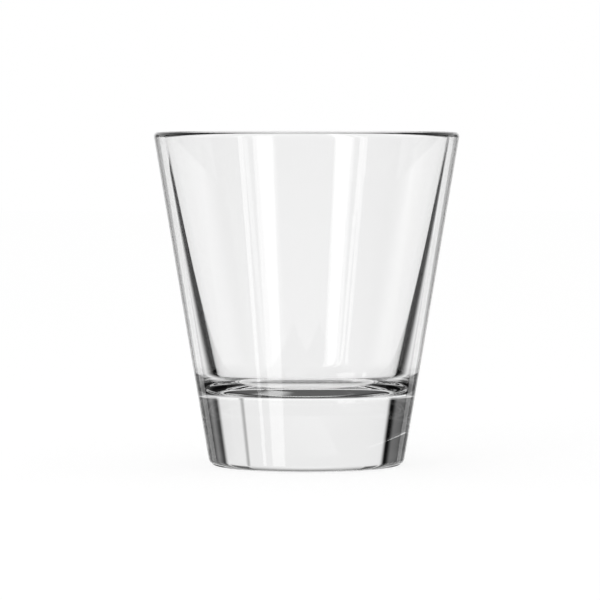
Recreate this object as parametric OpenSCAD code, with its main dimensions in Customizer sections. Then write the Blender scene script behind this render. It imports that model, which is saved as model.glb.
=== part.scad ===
// A rocks glass: a straight-sided, flared tumbler with a heavy solid base.
// It is pressed from one gob of glass, so the whole object is one piece.
// The axis is Z, the table is the plane z = 0, and all sizes are in millimetres.

/* [Outside] */
// Height from the table to the top of the lip
height = 95; // [75:0.5:130]
// Outside diameter of the flared wall, carried up to the top of the lip
rim_d = 87.5; // [76:0.5:110]
// Outside diameter of the flared wall, carried down to the table
base_d = 55.5; // [46:0.5:74]
// Radius that rounds the heel, where the wall turns under to the table
heel_r = 2.2; // [1:0.1:4]

/* [Bowl] */
// Wall thickness at the lip, measured level
lip_wall = 2.6; // [1.8:0.1:4]
// Wall thickness at the floor of the bowl, measured level
floor_wall = 6.6; // [4:0.1:9]
// Thickness of the solid base, from the table to the floor of the bowl
base_t = 21; // [8:0.5:35]
// Radius between the wall and the floor of the bowl
floor_r = 8; // [2:0.5:12]

/* [Underside] */
// Width of the flat ring that stands on the table
ring_w = 4.5; // [3:0.5:10]
// Depth of the shallow dish inside that ring, at its middle
dish_depth = 0.8; // [0.4:0.1:2]

/* [Hidden] */

$fn = 128;

// How far a round bites into the wall that it touches, so that the two meet in one clean edge
bite = 0.002;
// How far a cut runs past the face that it opens
past = 1;

// How far the outside and the inside of the wall lean out from upright
outside_lean = atan((rim_d - base_d) / 2 / height);
bowl_depth = height - base_t;
inside_lean = atan((outside_x(height) - lip_wall - outside_x(base_t) + floor_wall) / bowl_depth);

// The lip is one full round, which touches both sides of the wall and the top plane
wall_growth = (floor_wall - lip_wall) / bowl_depth;
lip_r = lip_wall / (1 / cos(outside_lean) + 1 / cos(inside_lean) - wall_growth);
lip_z = height - lip_r;
lip_x = outside_x(lip_z) - lip_r / cos(outside_lean);
lip_outer_touch = touch([lip_x, lip_z], lip_r, outside_lean);
lip_inner_touch = touch([lip_x, lip_z], -lip_r, inside_lean);

// The heel's round touches the table and the outside of the wall
heel_x = outside_x(heel_r) - heel_r / cos(outside_lean);
heel_touch = touch([heel_x, heel_r], heel_r, outside_lean);

// The floor's round touches the floor and the inside of the wall
floor_round_z = base_t + floor_r;
floor_round_x = inside_x(floor_round_z) - floor_r / cos(inside_lean);
floor_touch = touch([floor_round_x, floor_round_z], floor_r, inside_lean);

// The dish is part of a sphere
dish_rim_r = heel_x - ring_w;
dish_sphere_r = (pow(dish_rim_r, 2) + pow(dish_depth, 2)) / (2 * dish_depth);

// Distance from the axis to the outside and to the inside of the wall, at a height
function outside_x(z) = base_d / 2 + z * tan(outside_lean);
function inside_x(z) = outside_x(height) - lip_wall - (height - z) * tan(inside_lean);

// The point where a round touches a leaning wall, which lies inside it for a negative radius
function touch(centre, r, lean) = centre + r * [cos(lean), -sin(lean)];

// Half of the outside, filled, with the heel's round and a cut square across the wall under the lip
module outside_half() {
    polygon([
        [0, 0],
        [heel_x + bite, 0],
        heel_touch,
        lip_outer_touch,
        2 * lip_inner_touch - lip_outer_touch,
        [0, height]
    ]);
    translate([heel_x + bite, heel_r]) circle(heel_r);
}

// Half of the bowl, as the space to take away
module bowl_half() {
    polygon([
        [0, base_t],
        [floor_round_x + bite, base_t],
        floor_touch,
        [inside_x(height + past), height + past],
        [0, height + past]
    ]);
    translate([floor_round_x + bite, floor_round_z]) circle(floor_r);
}

// Half of the section through the glass, with the lip's round on the wall
module section_half() {
    difference() {
        outside_half();
        bowl_half();
    }
    translate([lip_x, lip_z - bite]) circle(lip_r + bite);
}

// The whole glass: a turned section, with a shallow dish pressed up into its underside
module tumbler() {
    color([0.93, 0.95, 0.95, 0.35])
    difference() {
        rotate_extrude() section_half();
        translate([0, 0, dish_depth - dish_sphere_r]) sphere(dish_sphere_r);
    }
}

tumbler();
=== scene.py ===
"""A rocks glass in clear pressed glass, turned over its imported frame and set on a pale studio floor.

All lengths are in metres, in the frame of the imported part: the axis of the glass is Z, it stands on the plane
z = 0, and the camera looks along +Y.
"""
import math

import bpy
from bpy.props import FloatProperty, FloatVectorProperty, IntProperty, PointerProperty
from bpy.types import Operator, Panel, PropertyGroup
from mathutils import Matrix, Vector
from mathutils.bvhtree import BVHTree


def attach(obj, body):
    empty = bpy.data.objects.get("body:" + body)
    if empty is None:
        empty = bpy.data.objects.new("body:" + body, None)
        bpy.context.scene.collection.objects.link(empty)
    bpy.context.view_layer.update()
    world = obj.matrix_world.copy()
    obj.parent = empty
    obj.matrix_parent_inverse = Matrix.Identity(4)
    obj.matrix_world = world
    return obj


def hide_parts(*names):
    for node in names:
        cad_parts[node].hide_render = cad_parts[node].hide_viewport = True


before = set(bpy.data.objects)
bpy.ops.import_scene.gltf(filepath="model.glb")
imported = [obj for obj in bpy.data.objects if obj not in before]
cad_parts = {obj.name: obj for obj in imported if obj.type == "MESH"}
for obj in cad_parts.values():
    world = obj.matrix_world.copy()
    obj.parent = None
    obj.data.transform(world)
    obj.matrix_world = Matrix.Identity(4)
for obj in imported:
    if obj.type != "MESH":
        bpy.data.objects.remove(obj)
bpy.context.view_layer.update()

bl_info = {
    "name": "Rocks Glass",
    "version": (1, 0, 0),
    "blender": (4, 5, 0),
    "location": "View3D > Sidebar > Rocks Glass",
    "description": "Turns a flared rocks glass with a heavy base and sets it on a studio floor",
    "category": "Add Mesh",
}

QUARTER = math.pi / 2
WHITE = (1.0, 1.0, 1.0, 1.0)
# A distance that counts as none
HAIR = 1e-6

# The stretch of the noise, which runs from 0 to 1, over which haze comes in on the glass
HAZE_STRETCH = (0.45, 0.75)

# The stretch of a ray's way along Z over which the room dims overhead, and along Y for the room in front
OVERHEAD_STRETCH = (0.1, 0.63)
FRONT_STRETCH = (-0.08, 0.3)
# Reflections after which light is dimmed, as it has gone round inside the glass
DEEP = 5

# How level a ray meets the floor, from 0 for square to 1 for level, over which the floor starts to mirror
MIRROR_STRETCH = (0.42, 0.6)
MIRROR_ROUGHNESS = 0.02
# How much of its mirror the floor keeps for deep light
MIRROR_DEEP = 0.5

# Heights of the floor and of what lies on it, just under the plane that the glass stands on
FLOOR_Z = -0.0001
STRIP_Z = -0.00008
SHADE_Z = -0.00005
BAR_Z = -0.00003
# Sides of the round floor, and of the round shade under the glass
ROUND_SIDES = 96

# The bar of painted light in the painted shade under the glass: its place along X, its width and length, its
# light in the middle, and the share of its width over which each side is soft
BAR_X = -0.0115
BAR_SIZE = (0.015, 0.04)
BAR_LIGHT = 0.5
BAR_SOFT = 0.4

# Upright cards that only solid glass shows: name, bearings of both edges in degrees, and their greys. The tall
# and low cards stand on the floor, and the corner cards start where the low ones end
TALL_CARDS = (
    ("left_card_end", -88, -72, 0.9, 0.04),
    ("left_card", -72, -45.5, 0.04, 0.17),
    ("left_card_edge", -45.5, -40.3, 0.17, 0.0),
    ("left_card_line", -40.3, -39, 0.0, 0.0),
    ("left_card_side", -39, -35.2, 0.0, 0.85),
    ("right_card_end", 72, 88, 0.03, 0.9),
    ("right_card", 57, 72, 0.1, 0.03),
    ("right_card_streak", 51.5, 57, 0.25, 0.1),
    ("right_card_edge", 44.3, 51.5, 0.05, 0.25),
    ("right_card_side", 40, 44.3, 0.85, 0.05),
)
CORNER_CARDS = (
    ("left_corner_card", -37.6, -26, 0.05, 0.05),
    ("right_corner_card", 26, 42.1, 0.05, 0.05),
)
LOW_CARDS = (
    ("thin_card", 23.6, 25, 0.9, 0.45),
    ("thin_card", 25, 27, 0.45, 0.9),
)
# The share of a card's height over which its foot is soft
FOOT_SOFT = 0.14

# Upright cards that only the outside of the glass shows, one at each side: bearings of both edges, and grey
OUTLINE_CARD = (21, 34, 0.3)
SIDE_CARD = (47, 88, 0.05)

# The share of the width of a strip of painted shadow that fades to white, on the side nearer the axis
STRIP_SOFT = 0.596

# Softboxes: name, and bearings of both edges in degrees
LAMPS = (
    ("wide_softbox", -155.3, -138.3),
    ("slim_softbox", -131.4, -127),
)
# The share of a softbox's width over which each side is dim, how much light a side gives, and how much light
# is left after some reflections
LAMP_SOFT = 0.12
LAMP_SIDE = 0.2
LAMP_REFLECTIONS = 3
LAMP_DEEP = 0.1


def straight(reach, low, high):
    """Lean and foot of a straight wall, from its distance to the axis at two heights."""
    slope = (reach(high) - reach(low)) / (high - low)
    return slope, reach(low) - slope * low


def measure_glass(mesh):
    """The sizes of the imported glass, in metres, under the names that GlassSizes gives them."""
    tree = BVHTree.FromPolygons([v.co for v in mesh.vertices], [p.vertices for p in mesh.polygons])
    height = max(v.co.z for v in mesh.vertices)
    # Heights clear of the heel, the floor's round and the lip, where the wall is straight
    over_heel, over_floor, under_lip = 0.2 * height, 0.5 * height, 0.9 * height

    def outer_reach(z):
        return tree.ray_cast(Vector((1, 0, z)), Vector((-1, 0, 0)))[0].x

    def inner_reach(z):
        return tree.ray_cast(Vector((0, 0, z)), Vector((1, 0, 0)))[0].x

    def level_reaches(z):
        return [v.co.xy.length for v in mesh.vertices if abs(v.co.z - z) < HAIR]

    def round_radius(corner, edge, slope):
        """Radius of the round from a level face's edge to a leaning wall, which would meet in a corner."""
        return (corner - edge) / (math.hypot(1, slope) - slope)

    outer_slope, outer_foot = straight(outer_reach, over_heel, under_lip)
    inner_slope, inner_foot = straight(inner_reach, over_floor, under_lip)
    base_t = tree.ray_cast(Vector((HAIR, HAIR, height)), Vector((0, 0, -1)))[0].z
    dish_depth = tree.ray_cast(Vector((HAIR, HAIR, -height)), Vector((0, 0, 1)))[0].z
    ring = level_reaches(0)
    floor_edge = max(level_reaches(base_t))
    wall_growth = inner_slope - outer_slope
    sizes = {
        "height": height,
        "rim_d": 2 * (outer_foot + outer_slope * height),
        "base_d": 2 * outer_foot,
        "heel_r": round_radius(outer_foot, max(ring), outer_slope),
        "lip_wall": outer_foot - inner_foot - wall_growth * height,
        "floor_wall": outer_foot - inner_foot - wall_growth * base_t,
        "base_t": base_t,
        "floor_r": round_radius(inner_foot + inner_slope * base_t, floor_edge, inner_slope),
        "ring_w": max(ring) - min(ring),
        "dish_depth": dish_depth,
    }
    # To a hundredth of a millimetre
    return {name: round(size, 5) for name, size in sizes.items()}


PACKED = measure_glass(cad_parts["tumbler"].data)


def length(name, description, default, precision=4):
    """A property that holds a length."""
    return FloatProperty(name=name, description=description, default=default, min=0, precision=precision,
                         subtype="DISTANCE", unit="LENGTH")


def angle(name, description, degrees):
    """A property that holds an angle."""
    return FloatProperty(name=name, description=description, default=math.radians(degrees),
                         subtype="ANGLE", unit="ROTATION")


def share(name, description, default):
    """A property that holds a share, from 0 to 1."""
    return FloatProperty(name=name, description=description, default=default, min=0, max=1, subtype="FACTOR")


class GlassSizes(PropertyGroup):
    """Sizes of the glass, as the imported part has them"""
    height: length("Height", "From the table to the top of the lip", PACKED["height"])
    rim_d: length("Rim", "Outside diameter of the wall, carried up to the top", PACKED["rim_d"])
    base_d: length("Base", "Outside diameter of the wall, carried down to the table", PACKED["base_d"])
    heel_r: length("Heel Round", "Radius where the wall turns under to the table", PACKED["heel_r"])
    lip_wall: length("Lip Wall", "Wall thickness at the lip, measured level", PACKED["lip_wall"])
    floor_wall: length("Floor Wall", "Wall thickness at the floor of the bowl", PACKED["floor_wall"])
    base_t: length("Base Thickness", "From the table to the floor of the bowl", PACKED["base_t"])
    floor_r: length("Floor Round", "Radius between the wall and the floor of the bowl", PACKED["floor_r"])
    ring_w: length("Ring Width", "Width of the flat ring that stands on the table", PACKED["ring_w"])
    dish_depth: length("Dish Depth", "Depth of the dish inside the ring", PACKED["dish_depth"])
    turn_steps: IntProperty(name="Steps Round", description="Faces round the axis", default=256, min=24)


class GlassFinish(PropertyGroup):
    """Finish of the clear glass"""
    tint: FloatVectorProperty(name="Tint", description="Colour that the glass lets through", subtype="COLOR",
                              size=4, default=WHITE, min=0, max=1)
    ior: FloatProperty(name="IOR", description="Index of refraction of soda-lime glass", default=1.52, min=1)
    wave_length: length("Wave Length", "From one faint wave of the pressed surface to the next", 0.025)
    wave_depth: length("Wave Depth", "Depth of the faint waves", 0.000006, precision=6)
    haze_patch: length("Haze Patch", "Size of the patches where handling has dulled the polish", 0.008)
    haze: share("Haze", "Roughness of the dullest patches", 0.012)


class StageLook(PropertyGroup):
    """Camera, floor, cards and lamps of the studio"""
    camera_distance: length("Camera Distance", "From the axis of the glass, along Y", 1.18)
    camera_height: length("Camera Height", "Above the table", 0.101)
    camera_left: length("Camera Left", "How far the camera stands left of the axis", 0.00188)
    camera_tilt: angle("Camera Tilt", "How far the camera looks down", 2.6193)
    camera_near: length("Camera Near", "Nearest distance that the camera shows", 0.01)
    lens: FloatProperty(name="Lens", description="Focal length", default=248.22, min=1,
                        subtype="DISTANCE_CAMERA", unit="CAMERA")
    floor_radius: length("Floor Radius", "Reach of the floor round the glass", 3.0)
    floor_glow: share("Floor Glow", "Share of the floor's white that no shadow dims", 0.8)
    floor_mirror: share("Floor Mirror", "How much the floor mirrors to a reflection in the glass", 0.95)
    room_fill: share("Room Fill", "Light of the room on what isn't glass", 0.97)
    room_front: share("Room In Front", "Light of the room in front of the glass, in its reflections", 0.15)
    room_overhead: share("Room Overhead", "Light of the room overhead, as the glass shows it", 0.25)
    room_in_base: share("Room In Base", "Light of the backdrop, seen through the solid base", 0.9)
    room_deep: share("Room Seen Deep", "Light that is left after five reflections or more", 0.25)
    # The shade of the table under the glass is painted, on a disc that glows
    underside_radius: length("Underside Radius", "Radius of the shaded table under the glass", 0.0265)
    underside_seen: share("Underside Seen", "Light of the table under the glass, seen through the bowl", 0.85)
    underside_reflected: share("Underside Reflected", "Light of the shaded table, in a reflection", 0.11)
    card_reach: length("Card Reach", "From the axis of the glass to the upright cards", 0.9)
    card_height: length("Card Height", "Top of the low and outline cards, foot of the corner cards", 0.242)
    card_top: length("Card Top", "Top of the tall cards and the corner cards", 1.0)
    side_card_height: length("Side Card Height", "Height of the side cards", 0.3267)
    # The dark strips on the floor are painted shadows of the glass, which only its reflections show
    strip_width: length("Strip Width", "Width of the dark strips on the floor", 0.0570)
    left_strip: length("Left Strip", "Length of the dark strip on the floor at the left", 0.45)
    right_strip: length("Right Strip", "Length of the dark strip on the floor at the right", 0.7)
    strip_start: length("Strip Start", "How far a strip starts in front of where it passes the glass", 0.1)
    strip_offset: length("Strip Offset", "From the axis to where a strip passes the glass", 0.0535)
    strip_bearing: angle("Strip Bearing", "How far the strips spread from straight behind the glass", 33.7)
    reflections: IntProperty(name="Reflections", description="How often light is followed inside the glass",
                             default=12, min=4)
    lamp_reach: length("Lamp Reach", "From the axis of the glass to the softboxes", 0.85)
    lamp_height: length("Lamp Height", "Height of the softboxes", 1.0)
    lamp_light: FloatProperty(name="Lamp Light", description="Radiance of the softboxes, where 1 is white",
                              default=2.4, min=0)


class Section:
    """Centres, radii and touching points of the rounds in the section of the glass."""

    def __init__(self, sizes):
        outer_slope = (sizes.rim_d - sizes.base_d) / 2 / sizes.height
        wall_growth = (sizes.floor_wall - sizes.lip_wall) / (sizes.height - sizes.base_t)
        inner_slope = outer_slope + wall_growth
        inner_foot = sizes.base_d / 2 - sizes.floor_wall - wall_growth * sizes.base_t
        self.outer_lean = math.atan(outer_slope)
        self.inner_lean = math.atan(inner_slope)
        outer_edge = 1 / math.cos(self.outer_lean)
        inner_edge = 1 / math.cos(self.inner_lean)

        self.lip_r = sizes.lip_wall / (outer_edge + inner_edge - wall_growth)
        self.lip_z = sizes.height - self.lip_r
        self.lip_x = sizes.base_d / 2 + outer_slope * self.lip_z - self.lip_r * outer_edge

        self.heel_r = sizes.heel_r
        self.heel_x = sizes.base_d / 2 + outer_slope * sizes.heel_r - sizes.heel_r * outer_edge

        self.base_t = sizes.base_t
        self.floor_r = sizes.floor_r
        self.floor_z = sizes.base_t + sizes.floor_r
        self.floor_x = inner_foot + inner_slope * self.floor_z - sizes.floor_r * inner_edge

        dish_edge = self.heel_x - sizes.ring_w
        self.dish_depth = sizes.dish_depth
        self.dish_r = (dish_edge ** 2 + sizes.dish_depth ** 2) / (2 * sizes.dish_depth)
        self.dish_turn = math.asin(dish_edge / self.dish_r)


class Pen:
    """Draws an outline in the XZ plane by extruding and spinning the last vertex of a mesh in edit mode."""

    def __init__(self, x, z):
        bpy.ops.object.select_all(action="DESELECT")
        bpy.ops.mesh.primitive_plane_add()
        bpy.ops.object.mode_set(mode="EDIT")
        bpy.ops.mesh.select_all(action="SELECT")
        bpy.ops.mesh.merge(type="CENTER")
        bpy.ops.transform.translate(value=(x, 0, z))
        self.place = Vector((x, z))

    def line_to(self, x, z, steps):
        """Draw a straight line in equal steps."""
        end = Vector((x, z))
        step = (end - self.place) / steps
        for _ in range(steps):
            bpy.ops.mesh.extrude_region_move(TRANSFORM_OT_translate={"value": (step.x, 0, step.y)})
        self.place = end

    def arc_about(self, x, z, turn, steps):
        """Draw an arc about a centre, which turns from X towards Z where turn is positive."""
        bpy.ops.mesh.spin(steps=steps, angle=turn, center=(x, 0, z), axis=(0, 1, 0))
        arm = self.place - Vector((x, z))
        across = Vector((-arm.y, arm.x))
        self.place = Vector((x, z)) + arm * math.cos(turn) + across * math.sin(turn)


def draw_section(section):
    """Draw the outline from the middle of the underside, round heel and lip, to the middle of the bowl."""
    pen = Pen(0, section.dish_depth)
    pen.arc_about(0, section.dish_depth - section.dish_r, -section.dish_turn, steps=12)
    pen.line_to(section.heel_x, 0, steps=2)
    pen.arc_about(section.heel_x, section.heel_r, QUARTER - section.outer_lean, steps=12)
    outer_touch = Vector((math.cos(section.outer_lean), -math.sin(section.outer_lean))) * section.lip_r
    pen.line_to(section.lip_x + outer_touch.x, section.lip_z + outer_touch.y, steps=24)
    pen.arc_about(section.lip_x, section.lip_z, math.pi + section.outer_lean - section.inner_lean, steps=24)
    inner_touch = Vector((math.cos(section.inner_lean), -math.sin(section.inner_lean))) * section.floor_r
    pen.line_to(section.floor_x + inner_touch.x, section.floor_z + inner_touch.y, steps=20)
    pen.arc_about(section.floor_x, section.floor_z, section.inner_lean - QUARTER, steps=16)
    pen.line_to(0, section.base_t, steps=6)


def turn_section(name, steps):
    """Spin the outline in edit mode about Z into a closed, smooth piece."""
    bpy.ops.mesh.select_all(action="SELECT")
    bpy.ops.mesh.spin(steps=steps, angle=math.tau, center=(0, 0, 0), axis=(0, 0, 1))
    bpy.ops.mesh.select_all(action="SELECT")
    bpy.ops.mesh.remove_doubles(threshold=HAIR)
    bpy.ops.mesh.normals_make_consistent(inside=False)
    bpy.ops.object.mode_set(mode="OBJECT")
    bpy.ops.object.shade_smooth()
    bpy.ops.object.modifier_add(type="WEIGHTED_NORMAL")
    piece = bpy.context.object
    bpy.ops.object.modifier_apply(modifier=piece.modifiers[-1].name)
    piece.name = name
    piece.data.name = name
    return piece


def add_node(tree, kind, inputs=None, **fields):
    """Add a node, set its fields, and plug or set its inputs."""
    node = tree.nodes.new(kind)
    for field, value in fields.items():
        setattr(node, field, value)
    for socket, value in (inputs or {}).items():
        if isinstance(value, bpy.types.NodeSocket):
            tree.links.new(value, node.inputs[socket])
        else:
            node.inputs[socket].default_value = value
    return node


def empty_tree(owner):
    """The node tree of a material, world or lamp, with nothing in it."""
    owner.use_nodes = True
    owner.node_tree.nodes.clear()
    return owner.node_tree


def math_node(tree, operation, first, second, **fields):
    """The result of one step of arithmetic on sockets or numbers."""
    return add_node(tree, "ShaderNodeMath", {0: first, 1: second}, operation=operation, **fields).outputs[0]


def product(tree, first, *others):
    """Sockets multiplied together."""
    for other in others:
        first = math_node(tree, "MULTIPLY", first, other)
    return first


def fade(tree, value, start, end, first, last):
    """A number that goes smoothly from a first to a last strength while a value goes from start to end."""
    return add_node(tree, "ShaderNodeMapRange", {
        "Value": value,
        "From Min": start,
        "From Max": end,
        "To Min": first,
        "To Max": last,
    }, interpolation_type="SMOOTHSTEP").outputs[0]


def choose(tree, test, if_not, if_so):
    """One of two strengths, by a test."""
    return add_node(tree, "ShaderNodeMix", {0: test, 2: if_not, 3: if_so}).outputs[0]


def mix_shaders(tree, share_of_second, first, second):
    """A node that mixes the surfaces of two nodes."""
    inputs = {0: share_of_second, 1: first.outputs[0], 2: second.outputs[0]}
    return add_node(tree, "ShaderNodeMixShader", inputs)


def without(tree, test, other):
    """A test that holds where one test does and another doesn't."""
    return math_node(tree, "SUBTRACT", test, other, use_clamp=True)


def at_least(tree, kind, times):
    """A test, 1 or 0, for rays that have had so many bounces of a kind, or more, on their way."""
    path = add_node(tree, "ShaderNodeLightPath")
    return math_node(tree, "GREATER_THAN", path.outputs[kind], times - 0.5)


def reflected(tree, times=1):
    """A test for rays that have been reflected so many times, or more."""
    return at_least(tree, "Glossy Depth", times)


def refracted(tree, times=1):
    """A test for rays that have gone in or out of glass so many times, or more."""
    return at_least(tree, "Transmission Depth", times)


def scattered(tree):
    """A test for rays that a matt surface has thrown on."""
    return at_least(tree, "Diffuse Depth", 1)


def through_solid(tree):
    """A test for rays that have gone into solid glass and out of it, once."""
    return without(tree, refracted(tree, 2), refracted(tree, 3))


def through_bowl(tree):
    """A test for rays that have gone through two walls of glass, with no reflection."""
    return without(tree, refracted(tree, 4), reflected(tree))


def noise(tree, place, size, detail):
    """Smooth noise from 0 to 1, in lumps of about a size."""
    inputs = {"Vector": place, "Scale": 1 / size, "Detail": detail}
    return add_node(tree, "ShaderNodeTexNoise", inputs).outputs["Fac"]


def clear_glass(finish):
    """Clear colourless glass, fire-polished, with faint waves from the mould and patches of haze from use."""
    material = bpy.data.materials.new("clear_glass")
    tree = empty_tree(material)
    place = add_node(tree, "ShaderNodeTexCoord").outputs["Object"]
    waves = noise(tree, place, finish.wave_length, detail=1.0)
    wavy = add_node(tree, "ShaderNodeBump", {"Distance": finish.wave_depth, "Height": waves})
    patches = noise(tree, place, finish.haze_patch, detail=3.0)
    glass = add_node(tree, "ShaderNodeBsdfPrincipled", {
        "Base Color": finish.tint,
        "Roughness": fade(tree, patches, *HAZE_STRETCH, 0.0, finish.haze),
        "IOR": finish.ior,
        "Transmission Weight": 1.0,
        "Normal": wavy.outputs["Normal"],
    })
    add_node(tree, "ShaderNodeOutputMaterial", {"Surface": glass.outputs["BSDF"]})
    return material


class ROCKSGLASS_OT_tumbler(Operator):
    """Turn the glass from its section and finish it in clear glass"""
    bl_idname = "rocks_glass.tumbler"
    bl_label = "Tumbler"
    bl_options = {"REGISTER", "UNDO"}

    def execute(self, context):
        sizes = context.scene.rocks_glass_sizes
        draw_section(Section(sizes))
        piece = turn_section("clear_tumbler", sizes.turn_steps)
        piece.data.materials.append(clear_glass(context.scene.rocks_glass_finish))
        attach(piece, "root")
        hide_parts("tumbler")
        return {"FINISHED"}


def place_camera(scene, look):
    """Stand the camera in front of the glass, a little above its lip."""
    bpy.ops.object.camera_add(
        location=(-look.camera_left, -look.camera_distance, look.camera_height),
        rotation=(QUARTER - look.camera_tilt, 0, 0),
    )
    camera = bpy.context.object
    camera.name = "camera"
    camera.data.lens = look.lens
    camera.data.clip_start = look.camera_near
    scene.camera = camera


def paint_world(scene, look):
    """A white studio. The glass shows it dimmer overhead, and in reflections also in front and deep in."""
    scene.world = bpy.data.worlds.new("studio")
    tree = empty_tree(scene.world)
    facing = add_node(tree, "ShaderNodeTexCoord")
    way = add_node(tree, "ShaderNodeSeparateXYZ", {0: facing.outputs["Generated"]})
    overhead = fade(tree, way.outputs["Z"], *OVERHEAD_STRETCH, 1.0, look.room_overhead)
    front = fade(tree, way.outputs["Y"], *FRONT_STRETCH, look.room_front, 1.0)
    in_solid = choose(tree, reflected(tree), look.room_in_base, front)
    deep = choose(tree, reflected(tree, DEEP), 1.0, look.room_deep)
    seen = product(tree, choose(tree, through_bowl(tree), in_solid, 1.0), deep, overhead)
    in_glass = math_node(tree, "MAXIMUM", refracted(tree), reflected(tree))
    fill = choose(tree, scattered(tree), 1.0, look.room_fill)
    strength = choose(tree, without(tree, in_glass, scattered(tree)), fill, seen)
    light = add_node(tree, "ShaderNodeBackground", {"Color": WHITE, "Strength": strength})
    add_node(tree, "ShaderNodeOutputWorld", {"Surface": light.outputs[0]})


def floor_paper(look):
    """White paper that keeps a faint shadow, and mirrors the room to the low reflections in the glass."""
    material = bpy.data.materials.new("floor_paper")
    tree = empty_tree(material)
    paper = add_node(tree, "ShaderNodeBsdfDiffuse", {"Color": WHITE})
    glow = add_node(tree, "ShaderNodeEmission", {"Color": WHITE})
    white = mix_shaders(tree, look.floor_glow, paper, glow)
    # The floor's own reflection is one more, so light turns deep here one reflection sooner
    shine = choose(tree, reflected(tree, DEEP - 1), look.floor_mirror, look.floor_mirror * look.room_deep)
    mirror = add_node(tree, "ShaderNodeBsdfGlossy", {"Color": shine, "Roughness": MIRROR_ROUGHNESS})
    grazing = add_node(tree, "ShaderNodeLayerWeight")
    gloss = fade(tree, grazing.outputs["Facing"], *MIRROR_STRETCH, 0.0, 1.0)
    kept = choose(tree, reflected(tree, DEEP), 1.0, MIRROR_DEEP)
    mirrored = product(tree, gloss, reflected(tree), kept)
    both = mix_shaders(tree, mirrored, white, mirror)
    add_node(tree, "ShaderNodeOutputMaterial", {"Surface": both.outputs[0]})
    return material


def lay_round(name, radius, z, material):
    """A round, level sheet on the axis of the glass."""
    bpy.ops.object.select_all(action="DESELECT")
    bpy.ops.mesh.primitive_circle_add(vertices=ROUND_SIDES, radius=radius, fill_type="NGON",
                                      location=(0, 0, z))
    bpy.ops.object.transform_apply(location=True, rotation=True, scale=True)
    sheet = bpy.context.object
    sheet.name = name
    sheet.data.materials.append(material)
    return sheet


def lay_floor(look):
    """A round floor just under the glass."""
    floor = lay_round("floor", look.floor_radius, FLOOR_Z, floor_paper(look))


def glowing(name, strength_of, seen_of=None):
    """A card's material: a grey that no light changes, clear to the rays that aren't meant to see it."""
    material = bpy.data.materials.new(name)
    tree = empty_tree(material)
    surface = add_node(tree, "ShaderNodeEmission", {"Color": WHITE, "Strength": strength_of(tree)})
    if seen_of:
        clear = add_node(tree, "ShaderNodeBsdfTransparent")
        surface = mix_shaders(tree, seen_of(tree), clear, surface)
    add_node(tree, "ShaderNodeOutputMaterial", {"Surface": surface.outputs[0]})
    return material


def on_card(tree):
    """The place on a card, whose X and Y go from 0 to 1 across it and up it."""
    place = add_node(tree, "ShaderNodeTexCoord")
    return add_node(tree, "ShaderNodeSeparateXYZ", {0: place.outputs["UV"]})


def across_card(tree, start, end, first, last):
    """A strength that goes smoothly from one to another across a card, between two shares of its width."""
    return fade(tree, on_card(tree).outputs["X"], start, end, first, last)


def from_side(tree, across):
    """How far a place across a face lies from the nearer side, from 0 to a half of the width."""
    return math_node(tree, "PINGPONG", across, 0.5)


def seen_through_base(tree):
    """How far rays see a card with a soft foot: those through solid glass, with one reflection at most."""
    foot = fade(tree, on_card(tree).outputs["Y"], 0.0, FOOT_SOFT, 0.0, 1.0)
    return product(tree, without(tree, through_solid(tree), reflected(tree, 2)), foot)


def seen_in_wall(tree):
    """A test for rays that have been reflected on their way through the wall or the base."""
    return product(tree, through_solid(tree), reflected(tree))


def seen_on_skin(tree):
    """A test for rays that the outside of the glass has reflected."""
    return without(tree, reflected(tree), refracted(tree))


def keep_off_camera(piece):
    """Mark a piece as part of the stage, which only the glass shows."""
    piece.visible_camera = False
    piece.visible_diffuse = False
    piece.visible_shadow = False


def toward(bearing, reach, height=0.0):
    """A place at a bearing from the axis, which is 0 behind the glass and turns to the right."""
    return reach * math.sin(bearing), reach * math.cos(bearing), height


def lay_card(name, place, turn, size, material):
    """A flat card of some width and height."""
    bpy.ops.object.select_all(action="DESELECT")
    bpy.ops.mesh.primitive_plane_add(size=1, location=place, rotation=turn)
    card = bpy.context.object
    card.name = name
    card.scale = (size[0], size[1], 1)
    bpy.ops.object.transform_apply(location=True, rotation=True, scale=True)
    card.data.materials.append(material)
    keep_off_camera(card)


def span(left, right, reach):
    """The middle bearing, and the width, of what stands between two bearings in degrees at some reach."""
    left, right = math.radians(left), math.radians(right)
    return (left + right) / 2, 2 * reach * math.tan((right - left) / 2)


def stand_card(name, look, left, right, foot, top, greys, seen_of):
    """An upright card between two bearings, in degrees, and two heights, shaded between two greys."""
    bearing, width = span(left, right, look.card_reach)
    material = glowing(name, lambda tree: across_card(tree, 0.0, 1.0, *greys), seen_of)
    place = toward(bearing, look.card_reach, (foot + top) / 2)
    lay_card(name, place, (QUARTER, 0, -bearing), (width, top - foot), material)


def stand_cards(look):
    """Cards at both sides, which shade the edges of the base and the outside and draw a line in the base."""
    low, high = look.card_height, look.card_top
    for cards, foot, top in ((TALL_CARDS, 0, high), (CORNER_CARDS, low, high), (LOW_CARDS, 0, low)):
        for name, left, right, *greys in cards:
            stand_card(name, look, left, right, foot, top, greys, seen_through_base)
    skin_cards = (("outline_card", OUTLINE_CARD, low), ("side_card", SIDE_CARD, look.side_card_height))
    for side in (-1, 1):
        for name, (near, far, grey), top in skin_cards:
            left, right = sorted((side * near, side * far))
            stand_card(name, look, left, right, 0, top, (grey, grey), seen_on_skin)


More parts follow.
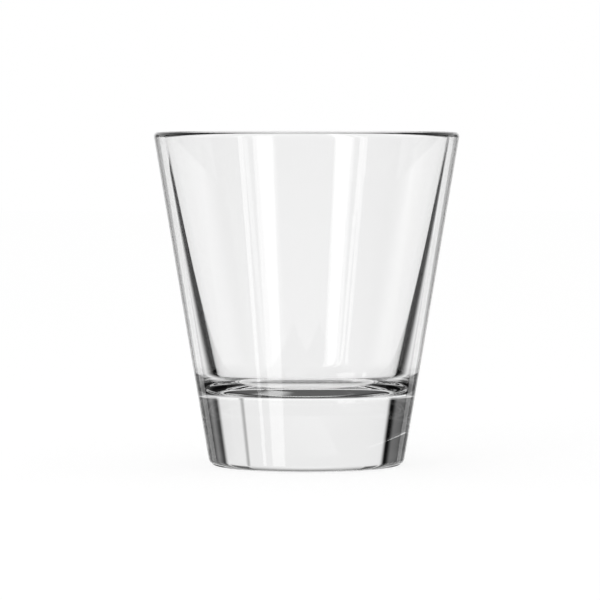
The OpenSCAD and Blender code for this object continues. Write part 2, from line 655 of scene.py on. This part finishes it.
def lay_shadow_strips(look):
    """Dark strips of painted shadow on the floor, which draw the lines down the inside of the wall."""
    dark_to_white = (1 - STRIP_SOFT, 1.0, 0.0, 1.0)
    white_to_dark = (0.0, STRIP_SOFT, 1.0, 0.0)
    for side, reach, shade in ((-1, look.left_strip, dark_to_white), (1, look.right_strip, white_to_dark)):
        material = glowing("shadow_strip", lambda tree: across_card(tree, *shade), seen_in_wall)
        bearing = side * look.strip_bearing
        middle = Vector(toward(bearing, reach / 2 - look.strip_start))
        place = middle + Vector((side * look.strip_offset, 0, STRIP_Z))
        lay_card("shadow_strip", place, (0, 0, -bearing), (look.strip_width, reach), material)


def shade_underside(look):
    """Painted shade on the table under the glass, as a grey disc that glows."""
    def shade(tree):
        return choose(tree, reflected(tree), look.underside_seen, look.underside_reflected)

    disc = lay_round("underside_shade", look.underside_radius, SHADE_Z, glowing("underside_shade", shade))
    keep_off_camera(disc)


def lay_light_bar(look):
    """A bar of painted light in the shade under the glass, which draws a bright streak in the base."""
    def light(tree):
        inward = from_side(tree, on_card(tree).outputs["X"])
        return fade(tree, inward, 0.0, BAR_SOFT, look.underside_reflected, BAR_LIGHT)

    material = glowing("light_bar", light, seen_in_wall)
    lay_card("light_bar", (BAR_X, 0, BAR_Z), (0, 0, 0), BAR_SIZE, material)


def soften_lamp(light):
    """Dim the sides of a softbox, as its cloth does, and its light after some reflections."""
    tree = empty_tree(light)
    face = add_node(tree, "ShaderNodeNewGeometry")
    across = add_node(tree, "ShaderNodeSeparateXYZ", {0: face.outputs["Parametric"]})
    soft = fade(tree, from_side(tree, across.outputs["X"]), 0.0, LAMP_SOFT, LAMP_SIDE, 1.0)
    kept = choose(tree, reflected(tree, LAMP_REFLECTIONS), 1.0, LAMP_DEEP)
    glow = add_node(tree, "ShaderNodeEmission", {"Color": WHITE, "Strength": product(tree, soft, kept)})
    add_node(tree, "ShaderNodeOutputLight", {"Surface": glow.outputs[0]})


def hang_lamp(name, look, left, right):
    """A softbox that stands between two bearings, in degrees, and faces the glass."""
    bearing, width = span(left, right, look.lamp_reach)
    bpy.ops.object.light_add(type="AREA", location=toward(bearing, look.lamp_reach, look.lamp_height / 2),
                             rotation=(QUARTER, 0, math.pi - bearing))
    lamp = bpy.context.object
    lamp.name = name
    lamp.data.shape = "RECTANGLE"
    lamp.data.size = width
    lamp.data.size_y = look.lamp_height
    # A flat lamp's power is its radiance times its area, times pi
    lamp.data.energy = look.lamp_light * math.pi * width * look.lamp_height
    soften_lamp(lamp.data)
    lamp.visible_camera = False


class ROCKSGLASS_OT_stage(Operator):
    """Set the camera, the floor, the cards and the light"""
    bl_idname = "rocks_glass.stage"
    bl_label = "Stage"
    bl_options = {"REGISTER", "UNDO"}

    def execute(self, context):
        scene = context.scene
        look = scene.rocks_glass_stage
        scene.view_settings.view_transform = "Standard"
        scene.cycles.glossy_bounces = look.reflections
        # Light is also refracted on its way, so whole paths may be longer
        scene.cycles.max_bounces = 2 * look.reflections
        place_camera(scene, look)
        paint_world(scene, look)
        lay_floor(look)
        shade_underside(look)
        lay_light_bar(look)
        stand_cards(look)
        lay_shadow_strips(look)
        for name, left, right in LAMPS:
            hang_lamp(name, look, left, right)
        return {"FINISHED"}


class VIEW3D_PT_rocks_glass(Panel):
    """The glass, its finish and its stage"""
    bl_label = "Rocks Glass"
    bl_space_type = "VIEW_3D"
    bl_region_type = "UI"
    bl_category = "Rocks Glass"

    def draw(self, context):
        scene = context.scene
        for title, group, operator in (
            ("Sizes", scene.rocks_glass_sizes, ROCKSGLASS_OT_tumbler),
            ("Finish", scene.rocks_glass_finish, None),
            ("Stage", scene.rocks_glass_stage, ROCKSGLASS_OT_stage),
        ):
            box = self.layout.box()
            box.label(text=title)
            for name in group.__annotations__:
                box.prop(group, name)
            if operator:
                box.operator(operator.bl_idname)


CLASSES = (
    GlassSizes,
    GlassFinish,
    StageLook,
    ROCKSGLASS_OT_tumbler,
    ROCKSGLASS_OT_stage,
    VIEW3D_PT_rocks_glass,
)
SETTINGS = {
    "rocks_glass_sizes": GlassSizes,
    "rocks_glass_finish": GlassFinish,
    "rocks_glass_stage": StageLook,
}


def register():
    for cls in CLASSES:
        bpy.utils.register_class(cls)
    for name, group in SETTINGS.items():
        setattr(bpy.types.Scene, name, PointerProperty(type=group))


def unregister():
    for name in SETTINGS:
        delattr(bpy.types.Scene, name)
    for cls in reversed(CLASSES):
        bpy.utils.unregister_class(cls)


def main():
    register()
    bpy.ops.rocks_glass.tumbler()
    bpy.ops.rocks_glass.stage()


if __name__ == "__main__":
    main()
